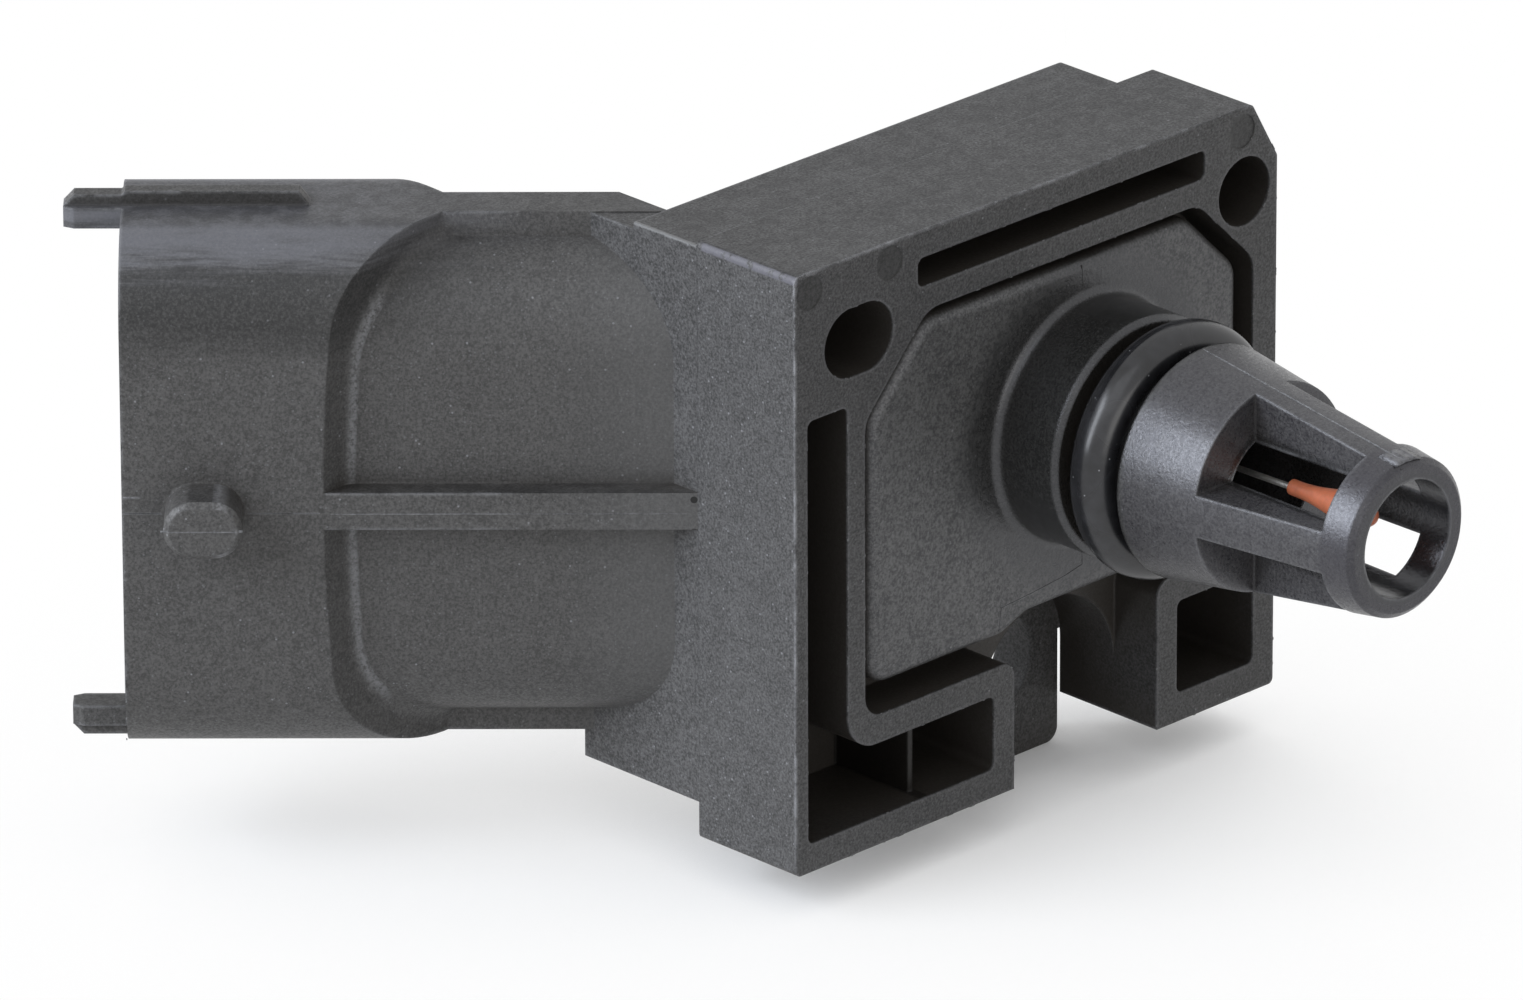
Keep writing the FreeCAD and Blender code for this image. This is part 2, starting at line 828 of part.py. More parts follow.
def terminal(height):
    """One blade: along the connector's axis, then bent to lie on the ledge in the cavity."""
    tip = connector_reach - terminal_tip_setback
    shoulder = tip - terminal_tip_taper
    bend = Vector(terminal_bend_across, pad_plane, 0)
    root = Vector(connector_root.x, connector_root.y, 0)
    shoulder_point = root + connector_out * shoulder
    path = [
        (shoulder_point.x, shoulder_point.y),
        (bend.x, bend.y),
        (terminal_pad_end, pad_plane),
    ]
    low = height - terminal_width / 2
    blade = plan_prism(strip_outline(path, terminal_thickness), low, low + terminal_width)
    end = Part.makePolygon(section_square(shoulder, terminal_thickness, terminal_width))
    point = Part.makePolygon(section_square(tip, terminal_thickness / 2, terminal_width / 2))
    taper = Part.makeLoft([end, point], True, True)
    taper.Placement = Placement(Vector(root.x, root.y, height), connector_placement.Rotation)
    return blade.fuse(taper).removeSplitter()


def section_square(along, width, height):
    """A closed rectangle across the connector's axis."""
    w, h = width / 2, height / 2
    corners = [(-w, -h), (w, -h), (w, h), (-w, h), (-w, -h)]
    return [Vector(along, across, up) for across, up in corners]


def terminal_sealant(terminals):
    """Sealing compound over the terminals' bends, poured on the ledge."""
    left = terminal_bend_across - terminal_seal_width / 2
    seal = block(
        (left, left + terminal_seal_width),
        (terminal_ledge_depth - terminal_seal_height, terminal_ledge_depth),
        (-cavity_bottom, recess_top),
    )
    inside = front_prism(cavity_outline(), cover_rear, terminal_ledge_depth)
    return seal.common(inside).cut(terminals)


def on_board(sides, stand, across, up, lift=0.0):
    """A block that stands on the circuit board."""
    base = board_face - lift
    w, h = sides[0] / 2, sides[1] / 2
    return block((across - w, across + w), (base - stand, base), (up - h, up + h))


def board_outline(gap):
    """The circuit board's outline, inside the deeper part of the cavity."""
    top = recess_top - cover_seat_width - gap
    bottom = -cavity_bottom + gap
    r = cavity_corner_radius
    return [
        (board_left, bottom, r),
        (cavity_right - gap, bottom, r),
        (cavity_right - gap, top, r),
        (board_left, top, r),
    ]


def circuit_board():
    """The ceramic board."""
    return front_prism(board_outline(board_gap), board_face, board_face + board_thickness)


def board_adhesive():
    """The glue under the board."""
    return front_prism(board_outline(2 * board_gap), board_face + board_thickness, cavity_depth)


def glass_pedestal():
    """The glass block under the pressure die."""
    return on_board((pedestal_side, pedestal_side), pedestal_height, die_across, die_height)


def pressure_die():
    """The silicon die."""
    return on_board((die_side, die_side), die_thickness, die_across, die_height, pedestal_height)


def gel_ring():
    """The dam round the die."""
    outer = gel_ring_outer_diameter / 2
    front = board_face - gel_ring_height
    dam = cylinder_back(outer, front, board_face, die_across, die_height)
    hole = cylinder_back(outer - gel_ring_wall, front, board_face, die_across, die_height)
    return dam.cut(hole)


def protective_gel():
    """The soft gel that covers the die inside its dam."""
    radius = gel_ring_outer_diameter / 2 - gel_ring_wall
    front = board_face - gel_ring_height + gel_level_drop
    gel = cylinder_back(radius, front, board_face, die_across, die_height)
    return gel.cut([glass_pedestal(), pressure_die()])


def signal_chip():
    """The signal conditioning chip."""
    return on_board((chip_side, chip_side), chip_thickness, chip_across, chip_height)


def filter_capacitors():
    """A row of small chip capacitors, one group."""
    middle = (capacitor_count - 1) / 2
    size = (capacitor_width, capacitor_length)
    pieces = [
        on_board(size, capacitor_width, capacitor_row_across + (i - middle) * capacitor_pitch,
                 capacitor_row_height)
        for i in range(capacitor_count)
    ]
    return Part.makeCompound(pieces)


def terminal_bonds():
    """One ribbon from each terminal's pad over to the board, one group."""
    half = bond_thickness / 2
    start = ledge_end - bond_foot - bond_run / 2
    pad = terminal_face - half
    crest = pad - bond_rise
    board = board_face - half
    far = board_left + bond_run
    path = [
        (start, pad),
        (start + bond_foot, pad),
        (ledge_end + bond_run / 2, crest),
        (ledge_end + bond_run / 2 + bond_crest, crest),
        (far + bond_run + bond_crest, board),
        (far + bond_run + bond_crest + bond_foot, board),
    ]
    outline = strip_outline(path, bond_thickness)
    ribbons = [
        plan_prism(outline, height - bond_width / 2, height + bond_width / 2)
        for height in terminal_heights()
    ]
    return Part.makeCompound(ribbons)


def lead_ends(side):
    """Where a lead starts on the board and ends in the bead."""
    spread = Vector(-math.cos(math.radians(lead_spread_angle)), 0,
                    math.sin(math.radians(lead_spread_angle))) * (side / 2)
    foot = spread * lead_spacing_at_board
    foot.y = board_face
    end = spread * lead_spacing_at_bead
    end.y = -bead_start - lead_depth_in_bead
    end.z += lead_lift_at_tip
    return foot, end


def ntc_lead(side):
    """One of the thermistor's two wires, from its solder joint into the bead."""
    foot, end = lead_ends(side)
    run = end - foot
    radius = lead_diameter / 2
    wire = Part.makeCylinder(radius, run.Length + overrun, foot - run.normalize() * overrun, run)
    reach = nozzle_root_diameter / 2
    in_front = block((-reach, reach), (-nozzle_length, board_face), (-reach, reach))
    return wire.common(in_front)


def ntc_bead(leads):
    """The drop of epoxy round the thermistor."""
    neck_radius = bead_neck_diameter / 2
    radius = bead_diameter / 2
    stations = [(0.0, neck_radius)] + [(share, radius * r) for share, r in bead_profile] + [(1.0, 0.0)]
    points = [Vector(r, -bead_start - share * bead_length, 0) for share, r in stations]
    side = Part.BSplineCurve()
    side.interpolate(Points=points, InitialTangent=Vector(0, -1, 0), FinalTangent=Vector(-1, 0, 0))
    # The neck runs on a little and is then cut off square
    root = Vector(neck_radius, -bead_start + overrun, 0)
    centre = Vector(0, root.y, 0)
    half = Part.Wire([
        Part.LineSegment(centre, root).toShape(),
        Part.LineSegment(root, points[0]).toShape(),
        side.toShape(),
        Part.LineSegment(points[-1], centre).toShape(),
    ])
    bead = Part.Face(half).revolve(Vector(0, 0, 0), Vector(0, 1, 0), 360)
    behind = block((-radius, radius), (-bead_start, root.y + overrun), (-radius, radius))
    bead = bead.cut(behind)
    bead.translate(Vector(0, 0, lead_lift_at_tip))
    return bead.cut(leads)


def ntc_solder_joints(leads):
    """The cones of solder that hold the leads on the board, one group."""
    cones = []
    for side in (1, -1):
        foot = lead_ends(side)[0]
        cones.append(Part.makeCone(
            solder_base_diameter / 2, solder_top_diameter / 2, solder_height, foot, Vector(0, -1, 0)
        ).cut(leads))
    return Part.makeCompound(cones)


def build_parts():
    """Every node of the sensor, by name."""
    terminals = [terminal(height) for height in terminal_heights()]
    leads = [ntc_lead(1), ntc_lead(-1)]
    parts = {
        "housing": housing(terminals),
        "connector_shroud": connector_shroud(terminals),
        "pressure_port": pressure_port(),
        "o_ring": o_ring(),
        "port_sealant": port_sealant(),
        "terminal_sealant": terminal_sealant(terminals),
        "circuit_board": circuit_board(),
        "board_adhesive": board_adhesive(),
        "glass_pedestal": glass_pedestal(),
        "pressure_die": pressure_die(),
        "gel_ring": gel_ring(),
        "protective_gel": protective_gel(),
        "signal_chip": signal_chip(),
        "filter_capacitors": filter_capacitors(),
        "terminal_bonds": terminal_bonds(),
        "ntc_lead_upper": leads[0],
        "ntc_lead_lower": leads[1],
        "ntc_bead": ntc_bead(leads),
        "ntc_solder_joints": ntc_solder_joints(leads),
    }
    for i, piece in enumerate(terminals):
        parts["terminal_%d" % (i + 1)] = piece
    return parts


os.makedirs("parts", exist_ok=True)
for name, shape in build_parts().items():
    shape.exportStep("parts/%s.step" % name)
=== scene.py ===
import math
import random

import bmesh
import bpy
from mathutils import Matrix, Vector


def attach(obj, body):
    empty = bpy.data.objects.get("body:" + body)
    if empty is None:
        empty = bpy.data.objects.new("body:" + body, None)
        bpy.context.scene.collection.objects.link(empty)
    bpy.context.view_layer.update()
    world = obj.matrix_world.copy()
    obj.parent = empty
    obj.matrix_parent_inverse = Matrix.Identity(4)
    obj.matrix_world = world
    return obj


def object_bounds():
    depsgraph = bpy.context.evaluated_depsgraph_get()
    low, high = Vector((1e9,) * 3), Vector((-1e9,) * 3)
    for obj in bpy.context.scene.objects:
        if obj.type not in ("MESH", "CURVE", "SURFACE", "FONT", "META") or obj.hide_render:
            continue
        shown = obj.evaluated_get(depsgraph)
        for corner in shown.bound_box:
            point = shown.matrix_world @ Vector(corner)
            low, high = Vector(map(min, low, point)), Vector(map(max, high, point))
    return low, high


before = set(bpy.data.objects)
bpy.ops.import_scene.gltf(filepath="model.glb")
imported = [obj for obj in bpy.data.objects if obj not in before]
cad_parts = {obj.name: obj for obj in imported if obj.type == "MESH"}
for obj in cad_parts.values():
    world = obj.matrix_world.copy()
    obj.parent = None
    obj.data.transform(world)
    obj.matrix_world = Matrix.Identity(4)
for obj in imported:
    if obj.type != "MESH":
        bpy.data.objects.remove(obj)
cad_low, cad_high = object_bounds()
mm = 0.001

# Places and sizes that the marks follow, as in the CAD model, in millimetres

flange_left, flange_right, flange_back = -23.4, 14.95, 7.7
flange_top, flange_bottom = 15.3, -20.8
body_top = 15.0
pocket_rib = -13.2
cover_face = 0.4

shroud_half, connector_height, connector_rim, peg_stand = 7.45, -0.9, 32.0, 2.9
connector_turn = math.radians(45.0)
connector_out = Vector((-math.sin(connector_turn), math.cos(connector_turn), 0))
connector_near = Vector((-math.cos(connector_turn), -math.sin(connector_turn), 0))
connector_root = Vector((flange_left, flange_back, connector_height)) - connector_near * shroud_half

groove_end, tip, cone_large, cone_small = 8.4, 24.4, 13.8, 9.2

to_the_right, to_the_back, upward, to_the_front = (1, 0, 0), (0, 1, 0), (0, 0, 1), (0, -1, 0)


def on_connector(out, near, up):
    """A point given along, across and up on the connector, in metres."""
    point = connector_root + connector_out * out + connector_near * near + Vector((0, 0, up))
    return point * mm


# Node helpers

def put(tree, socket, value):
    """Links a socket or sets it to a value."""
    if isinstance(value, bpy.types.NodeSocket):
        tree.links.new(value, socket)
    else:
        socket.default_value = value


def add(tree, kind, settings=(), inputs=()):
    """A new node with its settings and its inputs filled."""
    node = tree.nodes.new(kind)
    for key, value in dict(settings).items():
        setattr(node, key, value)
    for key, value in dict(inputs).items():
        put(tree, node.inputs[key], value)
    return node


def maths(tree, operation, *values):
    """The result of one sum, product or other operation."""
    node = add(tree, "ShaderNodeMath", {"operation": operation}, enumerate(values))
    return node.outputs[0]


def chained(tree, operation, values):
    """The result of one operation over several values."""
    result = values[0]
    for value in values[1:]:
        result = maths(tree, operation, result, value)
    return result


def times(tree, *values):
    """The product of several masks."""
    return chained(tree, "MULTIPLY", values)


def strongest(tree, *values):
    """The largest of several masks."""
    return chained(tree, "MAXIMUM", values)


def ramp(tree, value, low, high, to_low=0.0, to_high=1.0):
    """Maps a value from one range to another, smoothly and clamped."""
    node = add(tree, "ShaderNodeMapRange", {"interpolation_type": "SMOOTHSTEP"}, {
        "Value": value, "From Min": low, "From Max": high, "To Min": to_low, "To Max": to_high,
    })
    return node.outputs["Result"]


def rise(tree, distance, low, high, to_low=0.0, to_high=1.0):
    """A ramp over a distance whose two ends are given in millimetres."""
    return ramp(tree, distance, low * mm, high * mm, to_low, to_high)


def blend(tree, factor, first, second):
    """Mixes two colours."""
    node = add(tree, "ShaderNodeMix", {"data_type": "RGBA"}, {0: factor, 6: first, 7: second})
    return node.outputs[2]


def paint(tree, base, mask, strength, colour):
    """Lays a colour over the base where a mask is."""
    return blend(tree, times(tree, mask, strength), base, colour)


def turned_normal(tree, factor, first, second):
    """Mixes two directions."""
    node = add(tree, "ShaderNodeMix", {"data_type": "VECTOR"}, {0: factor, 4: first, 5: second})
    return node.outputs[1]


def noise(tree, coords, scale, detail=3.0, rough=0.7):
    """Cloudy noise between 0 and 1, with its scale in clouds to the metre."""
    node = add(tree, "ShaderNodeTexNoise", {}, {
        "Vector": coords, "Scale": scale, "Detail": detail, "Roughness": rough,
    })
    return node.outputs["Fac"]


def along_axis(tree, coords, direction):
    """How far a point lies along a direction."""
    node = add(tree, "ShaderNodeVectorMath", {"operation": "DOT_PRODUCT"}, {
        0: coords, 1: tuple(direction),
    })
    return node.outputs["Value"]


def closeness(tree, coords, place, reach):
    """A soft-edged ball round a place in metres, with its radius in millimetres."""
    node = add(tree, "ShaderNodeVectorMath", {"operation": "DISTANCE"}, {0: coords, 1: tuple(place)})
    return rise(tree, node.outputs["Value"], reach, reach * 0.85)


def face_direction(tree):
    """The direction that the surface itself faces."""
    return add(tree, "ShaderNodeNewGeometry").outputs["Normal"]


def looked_at(tree):
    """A mask for the rays that look at things: the camera's, mirrored ones and those through glass."""
    path = add(tree, "ShaderNodeLightPath")
    return strongest(tree, *(path.outputs[ray] for ray in (
        "Is Camera Ray", "Is Glossy Ray", "Is Transmission Ray",
    )))


def grey(value):
    """A colour without a tint."""
    return (value, value, value, 1.0)


def scaled(colour, factor):
    """A colour made darker or lighter."""
    return tuple(min(1.0, part * factor) for part in colour) + (1.0,)


def material(name):
    """A new material and its empty node tree."""
    made = bpy.data.materials.new(name)
    made.use_nodes = True
    made.node_tree.nodes.clear()
    return made, made.node_tree


def close(tree, shader, output="ShaderNodeOutputMaterial"):
    """Links the last shader to the tree's output."""
    tree.links.new(shader, add(tree, output).inputs["Surface"])


def flecks(tree, coords, scale, size, share):
    """A sprinkle of small specks, each in its own cell."""
    cells = add(tree, "ShaderNodeTexVoronoi", {}, {"Vector": coords, "Scale": scale})
    speck = ramp(tree, cells.outputs["Distance"], size, size * 0.6)
    pick = add(tree, "ShaderNodeSeparateColor", {}, {"Color": cells.outputs["Color"]})
    chosen = maths(tree, "GREATER_THAN", pick.outputs[0], 1.0 - share)
    return times(tree, speck, chosen)


# Glass-filled plastic

edge_radius, open_reach = 0.22 * mm, 6.0 * mm
fibre_colour, dot_colour = (0.15, 0.15, 0.155, 1), (0.26, 0.26, 0.27, 1)
worn_colour = (0.34, 0.34, 0.35, 1)
# Colours of painted shade for recesses and the darkest pockets
hollow_shade_colour, deep_shade_colour = (0.035, 0.030, 0.025, 1), (0.006, 0.005, 0.004, 1)


def edge_masks(tree):
    """The rounded normal, a mask that is bright on outer edges, and how open each place is."""
    bevel = add(tree, "ShaderNodeBevel", {"samples": 4}, {"Radius": edge_radius})
    within = add(tree, "ShaderNodeAmbientOcclusion", {"samples": 5, "inside": True}, {
        "Distance": edge_radius * 1.3,
    })
    around = add(tree, "ShaderNodeAmbientOcclusion", {"samples": 5}, {"Distance": open_reach})
    outer = ramp(tree, within.outputs["AO"], 0.97, 0.62)
    return bevel.outputs[0], outer, around.outputs["AO"]


def moulded(name, colour, rough=0.50, speck=1.0, grain=1.0, contrast=1.0, zones=None):
    """Fine grain, pale fibres, soft mottling, painted shade in hollows, and worn edges.

    The zones function changes the look in places: its base colour, roughness and normal, how much
    of the wear shows, and the masks of painted shade in recesses and darkest pockets, laid over the base
    last.
    """
    made, tree = material(name)
    coords = add(tree, "ShaderNodeTexCoord").outputs["Object"]
    fine = noise(tree, coords, 6200)
    coarse = noise(tree, coords, 1900, detail=2.0, rough=0.6)
    mottle = noise(tree, coords, 190, rough=0.55)
    fibres = flecks(tree, coords, scale=3900, size=0.27, share=0.30 * speck)
    dots = flecks(tree, coords, scale=1500, size=0.12, share=0.24 * speck)
    normal, outer, openness = edge_masks(tree)

    tone = maths(tree, "ADD", times(tree, fine, 0.72), times(tree, coarse, 0.18))
    tone = maths(tree, "ADD", tone, times(tree, mottle, 0.10))
    dark, light = scaled(colour, 1 - 0.55 * contrast), scaled(colour, 1 + 0.60 * contrast)
    base = blend(tree, ramp(tree, tone, 0.36, 0.64), dark, light)
    base = paint(tree, base, fibres, 0.50, fibre_colour)
    base = paint(tree, base, dots, 0.60, dot_colour)
    look = {
        "base": base, "rough": ramp(tree, tone, 0.36, 0.64, rough + 0.06, rough - 0.06),
        "normal": normal, "wear": 0.25, "open": openness,
        "hollow": ramp(tree, openness, 0.56, 0.24), "deep": 0.0, "specular": 0.36, "tint": grey(1.0),
    }
    if zones:
        zones(tree, coords, look)

    small_chips = noise(tree, coords, 1300, rough=0.75)
    broad_chips = noise(tree, coords, 310, detail=2.0, rough=0.6)
    chips = times(tree, small_chips, broad_chips)
    worn = ramp(tree, times(tree, outer, chips), 0.13, 0.30)
    base = paint(tree, look["base"], worn, look["wear"], worn_colour)
    # Painted shade: recesses and the darkest pockets are darkened last, standing in for the shade that
    # falls there
    base = paint(tree, base, look["hollow"], 0.92, hollow_shade_colour)
    base = paint(tree, base, look["deep"], 0.85, deep_shade_colour)
    height = maths(tree, "ADD", times(tree, fine, 0.7), times(tree, coarse, 0.7))
    bump = add(tree, "ShaderNodeBump", {}, {
        "Strength": 0.6 * grain, "Distance": 0.03 * mm, "Height": height, "Normal": look["normal"],
    })
    surface = add(tree, "ShaderNodeBsdfPrincipled", {}, {
        "Base Color": base, "Roughness": look["rough"], "Normal": bump.outputs[0],
        "Specular IOR Level": look["specular"], "Specular Tint": look["tint"],
    })
    close(tree, surface.outputs[0])
    return made


def painted_top_shade(tree, coords, base, start=0.70):
    """Painted shade with cloudy mottling: darker colour on faces that look up."""
    lean = along_axis(tree, face_direction(tree), upward)
    facing_up = ramp(tree, lean, start, min(start + 0.25, 0.999))
    cloudy = ramp(tree, noise(tree, coords, 900), 0.36, 0.62, 0.22, 0.58)
    return paint(tree, base, facing_up, cloudy, (0.006, 0.006, 0.007, 1))


# Marks, painted shade and a painted highlight on the housing: places in millimetres, then how strong and
# which colour

ejector_marks, ejector_radius = ((-22.25, 14.1), (-16.0, 14.1), (12.1, 13.9)), 1.12
left_slot = (-18.6, -18.8)
pocket_floor = (-14.0, -15.0)
screw_side_right, screw_side_top = (-6.0, -5.0), (-8.0, -9.0)
rim_wear, screw_side_wear, front_wear, body_wear = 0.85, 0.30, 0.22, 0.20
# The first colour is a painted highlight along the flange's top-left edge; the second is a pale line on the
# body's top-left edge
edge_highlight_colour, torn_colour = (0.122, 0.119, 0.136, 1), (0.19, 0.19, 0.186, 1)
ejected_colour = (0.022, 0.022, 0.021, 1)


def paint_pocket_shade(tree, look, across, behind, up):
    """Painted shade inside the flange's pockets, deepest at the rib of the left foot's pocket."""
    soft = 0.1
    pocket = times(
        tree, rise(tree, behind, soft, 2 * soft), rise(tree, behind, flange_back, flange_back - soft),
        rise(tree, across, flange_left + soft, flange_left + 2 * soft),
        rise(tree, across, flange_right - soft, flange_right - 2 * soft),
        rise(tree, up, flange_top - soft, flange_top - 2 * soft),
        rise(tree, up, flange_bottom + soft, flange_bottom + 2 * soft),
    )
    shut_in_shade = times(tree, pocket, ramp(tree, look["open"], 1.0, 0.88))
    from_rib = maths(tree, "ABSOLUTE", maths(tree, "SUBTRACT", across, pocket_rib * mm))
    rib = times(tree, pocket, rise(tree, from_rib, 0.4, 0.3), rise(tree, up, *pocket_floor))
    slot = times(tree, pocket, rise(tree, across, *left_slot), ramp(tree, look["open"], 1.0, 0.94))
    # Painted shade: the pockets, their rib and the left slot are darkened where shade falls
    look["hollow"] = strongest(tree, look["hollow"], shut_in_shade, rib)
    look["deep"] = strongest(tree, rib, times(tree, slot, 0.25))


def housing_zones(tree, coords, look):
    """Painted shade in the pockets and on faces that look up, bright worn edges round the flange's front, a
    painted highlight along its top-left edge, and dull ejector marks.
    """
    across = along_axis(tree, coords, to_the_right)
    behind = along_axis(tree, coords, to_the_back)
    up = along_axis(tree, coords, upward)
    paint_pocket_shade(tree, look, across, behind, up)

    front_edge = rise(tree, behind, 0.45, 0.25)
    left_edge = rise(tree, across, flange_left + 0.3, flange_left + 0.2)
    top_edge = rise(tree, up, flange_top - 0.3, flange_top - 0.2)
    on_flange = rise(tree, behind, flange_back - 0.2, flange_back - 0.5)
    patchy = ramp(tree, noise(tree, coords, 420), 0.40, 0.56, 0.35, 1.0)
    rim = times(tree, front_edge, strongest(tree, left_edge, top_edge), rim_wear, patchy)
    corner = times(tree, left_edge, top_edge, on_flange)
    screw_side = times(
        tree, rise(tree, across, *screw_side_right), rise(tree, up, *screw_side_top),
        rise(tree, behind, flange_back, flange_back - 0.5), screw_side_wear,
    )
    body = rise(tree, behind, flange_back + 0.4, flange_back + 0.8, 0.0, body_wear)
    marks = strongest(tree, *(
        closeness(tree, coords, (x * mm, 0, z * mm), ejector_radius) for x, z in ejector_marks
    ))
    wear = strongest(tree, times(tree, front_edge, front_wear), rim, corner, screw_side, body)
    look["wear"] = times(tree, wear, maths(tree, "SUBTRACT", 1.0, marks))

    # Painted highlight: a pale lilac strip along the flange's top-left edge, where its rounding would catch
    # the light
    edge_highlight = times(
        tree, rise(tree, across, flange_left + 0.25, flange_left + 0.15),
        rise(tree, up, flange_top - 0.52, flange_top - 0.40), on_flange,
        ramp(tree, noise(tree, coords, 1500), 0.30, 0.50),
    )
    ragged = maths(tree, "ADD", up, times(tree, noise(tree, coords, 2600), 0.30 * mm))
    torn = times(
        tree, left_edge, rise(tree, ragged, body_top, body_top + 0.06),
        rise(tree, behind, flange_back, flange_back + 0.2),
    )
    base = painted_top_shade(tree, coords, look["base"])
    base = paint(tree, base, edge_highlight, 0.85, edge_highlight_colour)
    base = paint(tree, base, torn, 0.70, torn_colour)
    look["base"] = paint(tree, base, marks, 0.55, ejected_colour)


# Marks, a painted highlight and painted shade on the connector: distances out from its root and heights in
# millimetres

near_rim = (6.0, 24.0)
# Heights of the painted highlight on the rim's corner, of the painted shade under it and of the frayed drag
# lines
painted_sheen_from, painted_sheen_to = (12.1, 14.6), (14.9, 14.5)
shade_band_from, shade_band_to = (7.0, 11.2), (13.8, 12.4)
fray_from, fray_to = (11.6, 12.6), (14.6, 12.8)
streak_wander, streak_stretch = 0.6, (0.07, 1.0, 1.0)
lit_root_reach, sharp_edges = (9.5, 1.0), (9.5, 11.5)
key_height, key_start, step_start = (14.4, 14.6), (17.0, 17.5), (17.0, 17.8)
notches, notch_radius = (0.69, -1.25), 0.22


def painted_rim_light_and_streaks(tree, coords, base, along, out, up):
    """A painted highlight on the rim's upper corner, a darker strip of painted shade with speckled drag
    marks under it, and frayed drag lines between them.
    """
    drawn = add(tree, "ShaderNodeMapping", {"vector_type": "POINT"}, {
        "Vector": add(tree, "ShaderNodeCombineXYZ", {}, {"X": along, "Z": up}).outputs[0],
        "Scale": streak_stretch,
    }).outputs[0]
    lines = ramp(tree, noise(tree, drawn, 7500, rough=0.75), 0.38, 0.66)
    wander = streak_wander * mm
    wandering = ramp(tree, noise(tree, drawn, 1400, rough=0.6), 0.30, 0.70, -wander, wander)
    level = maths(tree, "ADD", up, wandering)
    speckle = ramp(tree, noise(tree, coords, 5200), 0.40, 0.60, 1.0, 0.55)
    reach = rise(tree, out, *near_rim)
    painted_sheen = times(tree, rise(tree, level, *painted_sheen_from), rise(tree, up, *painted_sheen_to), reach)
    shade_band = times(tree, rise(tree, level, *shade_band_from), rise(tree, level, *shade_band_to), reach, speckle)
    fray = times(tree, rise(tree, level, *fray_from), rise(tree, level, *fray_to), reach, lines)
    # Painted highlight, then painted shade with drag marks, then dark drag lines
    base = paint(tree, base, painted_sheen, 0.66, (0.160, 0.161, 0.178, 1))
    base = paint(tree, base, shade_band, 0.88, grey(0.012))
    return paint(tree, base, fray, 0.62, (0.018, 0.018, 0.019, 1))


def shroud_zones(tree, coords, look):
    """Drag streaks with a painted highlight and painted shade, a painted highlight on the step, painted
    shade in two notches, and a softer root painted lighter, without worn edges.
    """
    along = along_axis(tree, coords, connector_out)
    out = maths(tree, "SUBTRACT", along, on_connector(0, 0, 0).dot(connector_out))
    up = along_axis(tree, coords, upward)
    facing = face_direction(tree)
    base = painted_rim_light_and_streaks(tree, coords, look["base"], along, out, up)
    # Painted light: lighter towards the root, lifting the shade where the shroud meets the housing
    base = blend(tree, rise(tree, out, *lit_root_reach, 0.0, 0.42), base, (0.100, 0.099, 0.098, 1))
    base = painted_top_shade(tree, coords, base, start=0.965)

    # Painted shade: the near face of the key ridge on top is darkened, where shade falls
    key_wall_shade = times(tree, rise(tree, up, *key_height), rise(tree, out, *key_start),
                     ramp(tree, along_axis(tree, facing, connector_near), 0.85, 0.92))
    base = paint(tree, base, key_wall_shade, 0.55, grey(0.010))
    # Painted highlight: a pale speckled strip on the step's concave fillet, picked out by which way the
    # surface faces
    lean = along_axis(tree, facing, -connector_out)
    step = times(tree, ramp(tree, lean, 0.02, 0.18), ramp(tree, lean, 0.62, 0.22),
                 rise(tree, out, *step_start), ramp(tree, noise(tree, coords, 4200), 0.28, 0.64))
    base = paint(tree, base, step, 0.80, (0.20, 0.20, 0.205, 1))
    # Painted shade: two small dark spots stand in for the shade inside tiny notches
    for height in notches:
        notch_shade = closeness(tree, coords, on_connector(0.2, shroud_half, height), notch_radius)
        base = blend(tree, notch_shade, base, grey(0.006))
    look["base"] = base

    free = rise(tree, out, *sharp_edges)
    look["normal"] = turned_normal(tree, free, facing, look["normal"])
    look["wear"] = times(tree, free, 0.30)


# Painted shade and smooth places on the pressure port: distances forward and from the nozzle's axis in
# millimetres

cone_from, cone_before = (8.6, 9.2), (9.2, 8.6)
tip_band = (22.1, 22.5)
root_radius = (11.2, 7.8)
bore_radius, bore_from = (4.0, 3.6), (12.0, 13.0)


def port_zones(tree, coords, look):
    """The nozzle's smooth root and smooth bore, both painted darker as painted shade, and its glinting
    cone, painted darker with painted shade and its own lilac tint.
    """
    flat = add(tree, "ShaderNodeVectorMath", {"operation": "MULTIPLY"}, {0: coords, 1: (1, 0, 1)})
    length = add(tree, "ShaderNodeVectorMath", {"operation": "LENGTH"}, {0: flat.outputs[0]})
    radius = length.outputs["Value"]
    forward = along_axis(tree, coords, to_the_front)
    cone = rise(tree, forward, *cone_from)
    polished_and_shaded = times(tree, rise(tree, radius, *root_radius), rise(tree, forward, *cone_before))
    bore = times(tree, rise(tree, radius, *bore_radius), rise(tree, forward, *bore_from))
    cone_shade_strength = rise(tree, forward, *tip_band, 0.46, 0.70)
    # Painted shade: the cone, darker towards the tip, the smooth root and the bore are painted darker; the
    # cone's colour also carries its own lilac tint
    base = paint(tree, look["base"], cone, cone_shade_strength, (0.008, 0.006, 0.012, 1))
    base = paint(tree, base, polished_and_shaded, 0.72, (0.011, 0.011, 0.010, 1))
    look["base"] = paint(tree, base, bore, 0.7, grey(0.014))

    glint = ramp(tree, noise(tree, coords, 6400, rough=0.75), 0.36, 0.64, 0.42, 0.25)
    rough = ramp(tree, cone, 0.0, 1.0, look["rough"], glint)
    rough = ramp(tree, polished_and_shaded, 0.0, 1.0, rough, 0.24)
    look["rough"] = ramp(tree, bore, 0.0, 1.0, rough, 0.13)
    look["wear"] = ramp(tree, polished_and_shaded, 0.0, 1.0, 0.30, 0.10)
    look["specular"] = 0.68
    look["tint"] = (0.93, 0.94, 1.0, 1.0)


